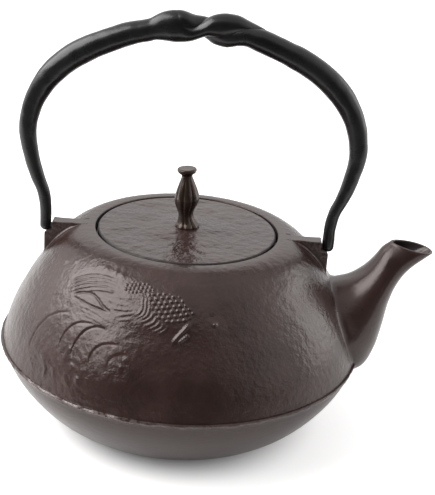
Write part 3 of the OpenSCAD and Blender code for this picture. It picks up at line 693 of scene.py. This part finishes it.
# rows of (x, up, forward, half height, half depth) along the twist
RODS = {
    "left": [(-30, 0, 0, 4.5, 4.3), (-24, -0.35, 0, 4.5, 4.1), (-20, -0.55, 0, 4.5, 4.0),
             (-19, -0.4, 0.05, 4.35, 3.95), (-18, -0.15, 0.1, 4.5, 3.95), (-16.7, 0.15, 0.2, 4.9, 4.0),
             (-14, 0.4, 0.4, 5.7, 4.1), (-11.5, 0.25, 0.55, 6.2, 4.2), (-9.6, 0.25, 0.65, 6.3, 4.2),
             (-7.8, 0.25, 0.7, 6.2, 4.15), (-6.4, -0.7, 0.72, 5.3, 4.1), (-5.2, -2.0, 0.75, 4.0, 4.0),
             (-3.1, -2.6, 0.85, 3.1, 3.95), (-0.1, -1.4, 0.9, 3.2, 3.9), (2.9, 0.5, 1.5, 3.6, 3.9),
             (4.7, 1.3, 1.7, 4.1, 3.9), (7, 1.5, 1.6, 4.7, 4.0), (9.6, 1.75, 1.3, 5.0, 4.1),
             (12, 2.3, 0.9, 4.4, 4.1), (14.2, 2.9, 0.6, 3.7, 3.9), (16.5, 3.2, 0.4, 2.8, 3.4),
             (18, 3.2, 0.1, 2.3, 2.9), (19.2, 3.2, -0.2, 2.1, 2.6), (21.5, 3.0, -0.8, 1.9, 2.2),
             (24, 2.8, -1.2, 1.7, 1.8), (26, 2.6, -1.3, 1.3, 1.3), (27.5, 2.4, -1.3, 0.6, 0.6)],
    "right": [(-13, 0.3, 0, 4.2, 2.8), (-11, 0.5, 0.1, 5.2, 3.4), (-9.5, 0.7, 0.2, 5.7, 3.8),
              (-7.8, 0.95, 0.5, 5.6, 4.1), (-6.4, 1.1, 0.55, 5.2, 4.1), (-5.2, 1.1, 0.5, 4.75, 4.0),
              (-3.9, 0.9, 0.25, 4.2, 3.9), (-2.6, 0.65, -0.1, 3.75, 3.9), (-0.1, 0.4, -1.0, 3.65, 3.9),
              (2.9, -0.5, -1.8, 4.2, 3.9), (5, -1.6, -1.6, 4.5, 3.9), (7, -2.1, -1.0, 4.5, 3.9),
              (9.6, -2.3, -0.4, 4.5, 3.9), (12, -2.1, 0.2, 4.4, 3.9), (14.2, -1.5, 0.6, 4.3, 3.9),
              (16.5, -0.5, 0.9, 4.1, 3.9), (19.2, -0.1, 0.7, 3.95, 3.9), (21.5, -0.1, 0.4, 4.15, 4.1),
              (24, -0.1, 0.1, 4.5, 4.4), (30, 0, 0, 4.7, 4.5)]}


def bail_line():
    """Centre line of the bail and its thickness, from the left pivot over the top to the
    right one: the outline's stations, mirrored, joined smoothly."""
    half = [[LEG_X + (BAIL_HALF - LEG_X) * a if i < 6 else BAIL_HALF * a, PIVOT_H + BAIL_H * b,
             BAIL_W / 2 * c] for i, (a, b, c) in enumerate(BAIL)]
    return through([[-x, z, r] for x, z, r in half] + half[-2::-1], 701)


def make_bail():
    """Two tapered rods along the common line. In the twist each rod's centre and its half
    height and depth follow its table, and outside it the line's own thickness; every
    ring lies square to the common line. The right rod starts behind the left one's broad
    swell and comes out over it, and the left rod's end thins to a tip behind the right
    one. Each leg ends in a low dome, 2.2 mm down from its last ring."""
    twist_end, blend, flatter, dome = 29, 7, 0.92, 2.2
    p = bail_line()
    x, thick = p[:, 0], p[:, 2]
    line = np.column_stack([x, np.zeros(len(p)), p[:, 1]])
    t = tangents(line)
    up = np.column_stack([-t[:, 2], np.zeros(len(t)), t[:, 0]])
    arch = p[:, 1] > PIVOT_H + BAIL_H * 0.8
    forward = np.array([0, -1.0, 0])
    a = np.linspace(0, 2 * PI, 48, endpoint=False)[:, None]
    for name, way in (("left", -1), ("right", 1)):
        table = np.array(RODS[name])
        start = table[0, 0] if way > 0 else -table[-1, 0]
        i = np.nonzero((x * way > start) & (arch | (x * way > 0)))[0]
        twist = np.column_stack([np.interp(x[i], table[:, 0], column) for column in table.T[1:]])
        rise, out, tall, deep = smoothed(twist, 9).T
        own = ease((twist_end - x[i] * way) / blend) * arch[i]
        tall = own * tall + (1 - own) * thick[i]
        deep = own * deep + (1 - own) * thick[i] * flatter
        centre = smoothed(line[i] + up[i] * (rise * own)[:, None] + forward * (out * own)[:, None], 3)
        rings = (centre[:, None] + up[i, None] * tall[:, None, None] * np.cos(a)
                 + np.cross(t[i], up[i])[:, None] * deep[:, None, None] * np.sin(a))
        low = rings[-1 if way > 0 else 0]
        foot = np.array([low.mean(0) + (low - low.mean(0)) * math.cos(q) - UP * dome * math.sin(q)
                         for q in np.linspace(0.15, 1.45, 9)])
        rings = np.concatenate([rings, foot] if way > 0 else [foot[::-1], rings])
        dents = 0.09 * field(rings, 17.0, 51) + 0.035 * field(rings, 6.5, 52)
        rings = rings + normals_of(rings) * dents[..., None]
        ob = put_grid(f"bail_rod_{name}", rings, "bail", "bail", worn=0.15)
        if way > 0:
            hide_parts("bail")
    q = np.linspace(0, 1, 14)
    radius = np.where(q < 0.06, 0.9, PIN_R) + 0.5 * ease((q - 0.86) / 0.14)
    for name, way in (("pin_left", -1), ("pin_right", 1)):
        pin = revolve(np.column_stack([radius, (PIN_IN + (LEG_X - PIN_IN) * q) * way]),
                      np.linspace(0, 2 * PI, 28, endpoint=False))
        put_grid(name, pin[..., [2, 1, 0]] + UP * PIVOT_H, "bail", "bail", worn=0.5)


# ---------------------------------------------------------------- basket
def over_under(i):
    """How far a wire lies off its middle at crossing i: about half its thickness, to one
    side and to the other by turns."""
    return WIRE * 0.95 * np.cos(PI * i)


def put_wires(name, wires, loop=False):
    """Four-sided wires in one mesh. Each wire is its centre's points and the two
    directions across it, and its corners lie WIRE out along them to both sides."""
    corner = np.array([[1, 0], [0, 1], [-1, 0], [0, -1]]) * WIRE
    verts, quads = [], []
    for c, *across in wires:
        first = 4 * sum(len(v) for v in verts)
        b, d = (np.broadcast_to(v, c.shape)[:, None] for v in across)
        verts.append(c[:, None] + corner[:, :1] * b + corner[:, 1:] * d)
        quads.append(ring_quads(len(c), 4, loop) + first)
        if not loop:
            quads.append(np.array([[3, 2, 1, 0], np.arange(4) + 4 * len(c) - 4]) + first)
    return put_mesh(name, np.concatenate(verts).reshape(-1, 3), np.concatenate(quads), NO_FANS,
                    "mesh", "basket", smooth=False)


def make_basket():
    """The tea basket: a sheet rim with a rolled edge, a wall and a floor of woven wire,
    and a band round the foot. Each wire goes over and under the wires across it."""
    a = np.linspace(0, 2 * PI, 192, endpoint=False)
    floor = LEDGE_H - BASKET_H
    rim = np.array([[37.3, 0.02], [37.6, 0.1], [37.72, 0.26], [37.6, 0.42], [37.3, 0.5], [34.4, 0.5],
                    [33.2, 0.46], [32.6, 0.3], [32.45, -0.2], [32.42, -3.2], [32.5, -3.4], [33.1, -3.4],
                    [33.2, -3.2], [33.2, -0.6], [33.3, -0.15], [33.6, 0.02], [34.6, 0.0]])
    ob = put_grid("basket_rim_sheet", revolve(rim + [0, LEDGE_H], a), "steel", "basket", loop=True)
    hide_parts("basket_rim")
    band = np.array([[33.1, 0.05], [33.4, 0], [33.5, 0.12], [33.5, 2.85], [33.4, 3.0], [33.05, 3.0],
                     [32.45, 2.95], [32.4, 0.7], [31.9, 0.6], [31.0, 0.58], [31.0, 0.02], [32.3, 0]])
    ob = put_grid("basket_band_sheet", revolve(band + [0, floor], a), "steel", "basket", loop=True)
    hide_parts("basket_band")

    z = floor + 1.2 + np.arange(int((BASKET_H - 4.0) / PITCH) + 1) * PITCH
    count = int(round(2 * PI * MESH_R / PITCH))
    turn = np.arange(count)[:, None] * 2 * PI / count
    out = np.hstack([np.cos(turn), np.sin(turn), 0 * turn])
    round_it = np.hstack([-np.sin(turn), np.cos(turn), 0 * turn])
    level, post = np.arange(len(z))[:, None], np.arange(count)[:, None]
    uprights = [(out[k] * (MESH_R + over_under(level + k)) + UP * z[:, None], out[k], round_it[k])
                for k in range(count)]
    ob = put_wires("mesh_uprights", uprights)
    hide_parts("basket_wall")
    hoops = [(out * (MESH_R - over_under(post + m)) + UP * z[m], out, UP) for m in range(len(z))]
    put_wires("mesh_hoops", hoops, loop=True)

    across, along, floor_r, last_row, mid_floor = [], [], 32.2, 31.6, floor + 0.36
    half = int(last_row / PITCH)
    for m in range(-half, half + 1):
        reach = int(math.sqrt(floor_r**2 - (m * PITCH) ** 2) / PITCH)
        q = np.arange(-reach, reach + 1)
        x, y, lift = q * PITCH, np.full(len(q), m * PITCH), over_under(q + m)
        across.append((np.column_stack([x, y, mid_floor - lift]), [0, 1.0, 0], UP))
        along.append((np.column_stack([y, x, mid_floor + lift]), [-1.0, 0, 0], UP))
    ob = put_wires("mesh_floor", across + along)
    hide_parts("basket_floor")


# ---------------------------------------------------------------- materials
def new_group(name, inputs, outputs):
    """An empty shader group with named float inputs (name, value) and float outputs."""
    g = bpy.data.node_groups.new(name, "ShaderNodeTree")
    for key, value in inputs:
        g.interface.new_socket(key, in_out="INPUT", socket_type="NodeSocketFloat").default_value = value
    for key in outputs:
        g.interface.new_socket(key, in_out="OUTPUT", socket_type="NodeSocketFloat")
    return g, g.nodes.new("NodeGroupInput").outputs, g.nodes.new("NodeGroupOutput").inputs


def node(tree, kind, links=(), **values):
    """A node with its properties and socket values set, and (output, input) links made."""
    n = tree.nodes.new(kind)
    for key, value in values.items():
        if hasattr(n, key) and key not in n.inputs:
            setattr(n, key, value)
        else:
            n.inputs[key.replace("_", " ")].default_value = value
    for out, into in links:
        tree.links.new(out, n.inputs[into])
    return n


def plug(tree, sock, value):
    """Links an output to a socket, or sets the socket to a plain value."""
    if isinstance(value, bpy.types.NodeSocket):
        tree.links.new(value, sock)
    else:
        sock.default_value = (*value, 1) if isinstance(value, tuple) else value


def math_node(tree, op, a, b, clamp=False):
    """One sum of two outputs or numbers: ADD, SUBTRACT, MULTIPLY or MAXIMUM."""
    n = node(tree, "ShaderNodeMath", operation=op, use_clamp=clamp)
    for sock, value in zip(n.inputs, (a, b)):
        plug(tree, sock, value)
    return n.outputs[0]


def ramp(tree, value, low, high, to_low=0.0, to_high=1.0):
    """Maps low..high to to_low..to_high, smoothly and clamped."""
    n = node(tree, "ShaderNodeMapRange", [(value, "Value")], interpolation_type="SMOOTHSTEP", From_Min=low,
             From_Max=high, To_Min=to_low, To_Max=to_high)
    return n.outputs["Result"]


def mix_colour(tree, fac, a, b):
    """Colour a where fac is 0 and b where it is 1."""
    n = node(tree, "ShaderNodeMix", [(fac, "Factor")], data_type="RGBA")
    plug(tree, n.inputs["A"], a)
    plug(tree, n.inputs["B"], b)
    return n.outputs["Result"]


def mix_shader(tree, fac, a, b):
    """Shader a where fac is 0 and b where it is 1."""
    return node(tree, "ShaderNodeMixShader", [(fac, 0), (a, 1), (b, 2)]).outputs[0]


def noise(tree, scale, detail, roughness):
    """Noise on Object coordinates, with scale per metre as a number or an output."""
    n = node(tree, "ShaderNodeTexNoise", [(object_place(tree), "Vector")], Detail=detail, Roughness=roughness)
    plug(tree, n.inputs["Scale"], scale)
    return n.outputs["Fac"]


def object_place(tree):
    """Object coordinates."""
    return tree.nodes.new("ShaderNodeTexCoord").outputs["Object"]


def new_material(name):
    """A material with its node tree and its Principled shader."""
    m = bpy.data.materials.new(name)
    m.use_nodes = True
    return m, m.node_tree, m.node_tree.nodes["Principled BSDF"]


def cast_skin():
    """Group: the skin of a sand casting. Soft lumps from a smooth noise at one size, a
    finer grain over them, a slow mottle of the enamel's thickness, and small pits
    where the enamel is thin."""
    g, given, result = new_group("cast skin", [("Lumps per metre", 260.0), ("Lump height", 1.0),
                                               ("Grain height", 0.35)], ("Height", "Mottle", "Pits"))
    lumps = noise(g, given["Lumps per metre"], 1.0, 0.45)
    fine = noise(g, math_node(g, "MULTIPLY", given["Lumps per metre"], 3.7), 2.0, 0.5)
    mottle = noise(g, 55.0, 3.0, 0.55)
    cells = node(g, "ShaderNodeTexVoronoi", [(object_place(g), "Vector")], Scale=420.0)
    pit = math_node(g, "MULTIPLY", ramp(g, cells.outputs["Distance"], 0.05, 0.2, 1.0, 0.0),
                    ramp(g, mottle, 0.52, 0.68))
    height = math_node(g, "ADD", math_node(g, "MULTIPLY", lumps, given["Lump height"]),
                       math_node(g, "MULTIPLY", fine, given["Grain height"]))
    height = math_node(g, "SUBTRACT", height, math_node(g, "MULTIPLY", pit, 0.12))
    for sock, value in zip(result, (height, mottle, pit)):
        g.links.new(value, sock)
    return g


def worn_and_highlit_edges():
    """Group: where hands and cloths have polished a raised edge, and in a few places a
    painted highlight, from the piece's own "worn" attribute broken up by a fine noise."""
    g, given, result = new_group("worn and highlit edges", [("Amount", 1.0)], ("Mask",))
    worn = node(g, "ShaderNodeAttribute", attribute_name="worn").outputs["Fac"]
    patchy = math_node(g, "MULTIPLY", worn, ramp(g, noise(g, 900.0, 3.0, 0.6), 0.35, 0.62))
    g.links.new(math_node(g, "MULTIPLY", patchy, given["Amount"], clamp=True), result["Mask"])
    return g


GROUPS = {"skin": cast_skin(), "worn": worn_and_highlit_edges()}


def iron(name, dark, light, edge, rough, skin, depth, inner=None, tint=(1, 1, 1), wear=0.5, polish=0.18):
    """Enamelled or waxed iron: colour mottled from dark to light and turned towards edge on
    the places that the "worn" attribute marks, which are worn places and, in a few
    spots, a painted highlight; roughness that follows the mottle, and the cast skin as
    bump. skin is its lumps per metre, their height and the grain's, and depth the bump's
    in metres.
    inner is the colour of the places that the piece's "inner" attribute marks, which are
    smoother by polish, or rougher where it is below 0. These are inner faces, and on the
    seat's wall and the lid's rounded edge the dark inner colour is painted shade in the
    seam, while in the spout's channel a light inner grey adds painted light."""
    m, t, bsdf = new_material(name)
    cast = node(t, "ShaderNodeGroup", node_tree=GROUPS["skin"])
    for key, value in zip(("Lumps per metre", "Lump height", "Grain height"), skin):
        cast.inputs[key].default_value = value
    rub_and_highlight = node(t, "ShaderNodeGroup", node_tree=GROUPS["worn"])
    rub_and_highlight.inputs["Amount"].default_value = wear
    mottle, rub_and_highlight = cast.outputs["Mottle"], rub_and_highlight.outputs["Mask"]
    colour = mix_colour(t, ramp(t, mottle, 0.3, 0.7), dark, light)
    colour = mix_colour(t, cast.outputs["Pits"], colour, tuple(c * 0.45 for c in dark))
    # worn places take the edge colour: wear, and in a few spots a painted highlight
    colour = mix_colour(t, rub_and_highlight, colour, edge)
    rough = ramp(t, mottle, 0.3, 0.7, rough - 0.04, rough + 0.06)
    rough = math_node(t, "SUBTRACT", rough, math_node(t, "MULTIPLY", rub_and_highlight, 0.1))
    # the inner mark: inner faces, painted shade in the seam, and painted light in the spout's channel
    if inner:
        mark = node(t, "ShaderNodeAttribute", attribute_name="inner").outputs["Fac"]
        colour = mix_colour(t, mark, colour, inner)
        rough = math_node(t, "SUBTRACT", rough, math_node(t, "MULTIPLY", mark, polish))
    bump = node(t, "ShaderNodeBump", [(cast.outputs["Height"], "Height")], Strength=1.0, Distance=depth)
    for key, value in (("Base Color", colour), ("Roughness", rough), ("Normal", bump.outputs["Normal"]),
                       ("Specular Tint", tint)):
        plug(t, bsdf.inputs[key], value)
    return m


def steel(name, tint, rough, grain):
    """Satin stainless steel: a fine noise, with grain per metre, takes its colour from
    0.85 to 1.1 times the tint and its roughness from a little less to a little more."""
    m, t, bsdf = new_material(name)
    bsdf.inputs["Metallic"].default_value = 1.0
    streaks = noise(t, grain, 3.0, 0.6)
    colour = mix_colour(t, streaks, tuple(v * 0.85 for v in tint), tuple(min(1, v * 1.1) for v in tint))
    t.links.new(colour, bsdf.inputs["Base Color"])
    t.links.new(ramp(t, streaks, 0.3, 0.7, rough - 0.06, rough + 0.08), bsdf.inputs["Roughness"])
    return m


WARM = (1.0, 0.91, 0.885)
MATERIALS = {
    "brown": iron("brown enamel", (0.026, 0.0142, 0.0124), (0.040, 0.0218, 0.0192), (0.11, 0.080, 0.072),
                  # the inner colour here is painted shade, on the seat's wall in the seam under the lid
                  rough=0.23, skin=(400.0, 1.0, 0.40), depth=0.00024, inner=(0.013, 0.0115, 0.0115),
                  tint=WARM, polish=-0.4),
    "plain": iron("brown enamel smooth", (0.025, 0.0138, 0.0120), (0.037, 0.0202, 0.0178),
                  # this edge colour is wear, and on the ridge's front left and along the ears' fillets a
                  # painted highlight
                  (0.22, 0.175, 0.165), rough=0.18, skin=(620.0, 0.6, 0.5), depth=0.00010,
                  # this inner grey is the inner enamel lightened by painted light, for the inside of the
                  # spout's mouth
                  inner=(0.045, 0.041, 0.040), tint=WARM, polish=0.04),
    "lid": iron("brown enamel lid", (0.026, 0.0142, 0.0128), (0.038, 0.0208, 0.0188), (0.12, 0.090, 0.080),
                # the inner colour here is painted shade in the seam on the lid's rounded edge, and the own
                # colour of its ring and underside
                rough=0.15, skin=(280.0, 1.0, 0.35), depth=0.00066, inner=(0.006, 0.0055, 0.0055),
                tint=WARM, polish=-0.4),
    "knob": iron("dark waxed knob", (0.013, 0.0080, 0.0062), (0.023, 0.0142, 0.0108), (0.05, 0.036, 0.028),
                 rough=0.20, skin=(500.0, 0.5, 0.2), depth=0.00005, tint=(1.0, 0.80, 0.70), wear=0.35),
    "rivet": iron("rivet iron", (0.05, 0.045, 0.042), (0.09, 0.08, 0.075), (0.2, 0.19, 0.18),
                  rough=0.45, skin=(800.0, 1.0, 0.4), depth=0.00006),
    "bail": iron("black bail", (0.0060, 0.0058, 0.0060), (0.0095, 0.0090, 0.0092), (0.03, 0.03, 0.031),
                 rough=0.25, skin=(420.0, 0.6, 0.5), depth=0.00007, wear=0.25),
    "black": iron("inner enamel", (0.0065, 0.006, 0.006), (0.0095, 0.009, 0.009), (0.02, 0.02, 0.02),
                  rough=0.2, skin=(180.0, 1.0, 0.1), depth=0.00012),
    "steel": steel("basket steel", (0.60, 0.60, 0.61), 0.28, 700.0),
    "mesh": steel("basket wire", (0.55, 0.55, 0.56), 0.32, 900.0),
}

make_bowl()
make_shoulder()
make_lining()
make_spout()
make_ear(1)
make_ear(-1)
make_lid()
make_knob()
make_rivet()
make_bail()
make_basket()


# ---------------------------------------------------------------- camera
def turned(right, above, back, place):
    """Matrix that puts an object at place with its own axes along the three given ones."""
    rows = np.column_stack([right, above, back, place])
    return Matrix([*rows.tolist(), [0, 0, 0, 1]])


def studio_camera():
    """Camera in front of the pot and above it. Its focal length and shifts are in pixels
    of a view 435 wide."""
    view_w, focal_px, shift_x_px, shift_y_px, sensor_mm = 435, 1145.16, 2.924, -3.572, 36.0
    place = (0.016214, -0.445834, 0.262438)
    azim, elev, roll = (math.radians(v) for v in (-89.4507, 22.3743, 4.2572))
    back = np.array([math.cos(elev) * math.cos(azim), math.cos(elev) * math.sin(azim), math.sin(elev)])
    right = unit(np.cross(UP, back))
    above = np.cross(back, right)
    camera = bpy.data.objects.new("camera", bpy.data.cameras.new("camera"))
    scene.collection.objects.link(camera)
    camera.matrix_world = turned(right * math.cos(roll) + above * math.sin(roll),
                                 above * math.cos(roll) - right * math.sin(roll), back, place)
    camera.data.sensor_fit = "HORIZONTAL"
    camera.data.sensor_width = sensor_mm
    camera.data.lens = focal_px / view_w * sensor_mm
    camera.data.shift_x = shift_x_px / view_w
    camera.data.shift_y = shift_y_px / view_w
    camera.data.clip_start = 0.02
    return camera


scene.camera = studio_camera()
scene.view_settings.view_transform = "Standard"


# ---------------------------------------------------------------- floor, world and lamps
def floor_sheet():
    """White sheet: it glows for the camera and in gloss, except under the pot, where its glow
    falls to 0.05 as a painted contact shadow. For every ray but the camera's, the sheet in
    front of the pot is dark grey, painted shade for the unlit front of the room; the camera
    itself sees it white."""
    m = bpy.data.materials.new("pale floor")
    m.use_nodes = True
    t = m.node_tree
    t.nodes.clear()
    ray = t.nodes.new("ShaderNodeLightPath").outputs
    # dark is painted shade: the grey sheet that reflections and bounce light see in front of the pot
    sheet, dim, dark = (node(t, "ShaderNodeBsdfDiffuse", Color=(*c, 1)).outputs[0]
                        for c in ((0.86, 0.85, 0.845), (0.80, 0.79, 0.785), (0.10, 0.097, 0.095)))
    where = object_place(t)
    away = node(t, "ShaderNodeVectorMath", [(where, 0)], operation="LENGTH").outputs["Value"]
    # painted contact shadow: the glow is 0.05 at 40 mm from the pot's axis and rises to 0.54 by 66 mm, so the
    # floor round the foot and its reflection in the bowl read darker
    bright = math_node(t, "MULTIPLY", ramp(t, away, 0.040, 0.066, 0.05, 0.54),
                       ramp(t, ray["Is Camera Ray"], 0.0, 1.0, 0.2, 1.0))
    glow = node(t, "ShaderNodeEmission", [(bright, "Strength")], Color=(1, 1, 1, 1)).outputs[0]
    glow = node(t, "ShaderNodeAddShader", [(dim, 0), (glow, 1)]).outputs[0]
    seen = math_node(t, "MAXIMUM", ray["Is Camera Ray"], ray["Is Glossy Ray"])
    # painted shade: rays other than the camera's see the dark sheet where the floor lies in front of the pot,
    # y below -0.24 m
    to_back = ramp(t, node(t, "ShaderNodeSeparateXYZ", [(where, "Vector")]).outputs["Y"], -0.24, -0.11)
    surface = mix_shader(t, math_node(t, "MAXIMUM", ray["Is Camera Ray"], to_back), dark,
                         mix_shader(t, seen, sheet, glow))
    node(t, "ShaderNodeOutputMaterial", [(surface, "Surface")])
    return m


def studio_world():
    """Pale room: bright behind and overhead, dark at the front and low. The camera sees it
    white, and gloss sees a low backdrop at the back that brightens upwards."""
    world = bpy.data.worlds.new("studio")
    world.use_nodes = True
    t = world.node_tree
    t.nodes.clear()
    ray = t.nodes.new("ShaderNodeLightPath").outputs
    way = t.nodes.new("ShaderNodeTexCoord").outputs["Generated"]
    x, y, z = node(t, "ShaderNodeSeparateXYZ", [(way, "Vector")]).outputs
    behind = ramp(t, math_node(t, "ADD", y, math_node(t, "MULTIPLY", x, 0.25)), -0.90, 0.1, 0.0, 1.25)
    behind = math_node(t, "MULTIPLY", behind, ramp(t, z, 0.5, 0.9, 1.0, 0.7))
    ceiling = ramp(t, z, 0.58, 0.74, 0.06, 0.72)
    room = math_node(t, "MAXIMUM", behind, ceiling)
    camera_ray = ray["Is Camera Ray"]
    drop = math_node(t, "MULTIPLY", ramp(t, z, 0.26, 0.46, 0.85, 1.65),
                     math_node(t, "SUBTRACT", 1.0, camera_ray))
    drop = math_node(t, "ADD", drop, camera_ray)
    shown = math_node(t, "MAXIMUM", ray["Is Glossy Ray"], ray["Is Transmission Ray"])
    shown = math_node(t, "MULTIPLY", shown, ramp(t, y, -0.3, 0.1))
    shown = math_node(t, "MULTIPLY", shown, ramp(t, z, 0.55, 0.45))
    room, drop = (node(t, "ShaderNodeBackground", [(strength, "Strength")], Color=(1, 1, 1, 1)).outputs[0]
                  for strength in (room, drop))
    surface = mix_shader(t, math_node(t, "MAXIMUM", camera_ray, shown), room, drop)
    node(t, "ShaderNodeOutputWorld", [(surface, "Surface")])
    return world


def lamp(name, place, aim, wide, high, watts):
    """A flat lamp at place that faces aim."""
    data = bpy.data.lights.new(name, "AREA")
    data.shape = "RECTANGLE"
    data.size, data.size_y, data.energy = wide, high, watts
    ob = bpy.data.objects.new(name, data)
    scene.collection.objects.link(ob)
    z = unit(np.array(place, float) - aim)
    x = unit(np.cross(UP, z))
    ob.matrix_world = turned(x, np.cross(z, x), z, place)
    ob.visible_camera = False


scene.world = studio_world()
sheet = bpy.data.meshes.new("floor")
sheet.from_pydata([(-6, -6, 0), (6, -6, 0), (6, 6, 0), (-6, 6, 0)], [], [(0, 1, 2, 3)])
sheet.materials.append(floor_sheet())
floor = bpy.data.objects.new("floor", sheet)
scene.collection.objects.link(floor)
lamp("left softbox", (-0.69, -0.17, 0.66), (0, 0, 0.08), 1.0, 0.7, 12.6)
lamp("right softbox", (0.80, 0.26, 0.28), (0, 0, 0.06), 0.5, 0.5, 1.7)
lamp("left side softbox", (-0.85, 0.31, 0.25), (0, 0, 0.06), 0.5, 0.4, 0.5)
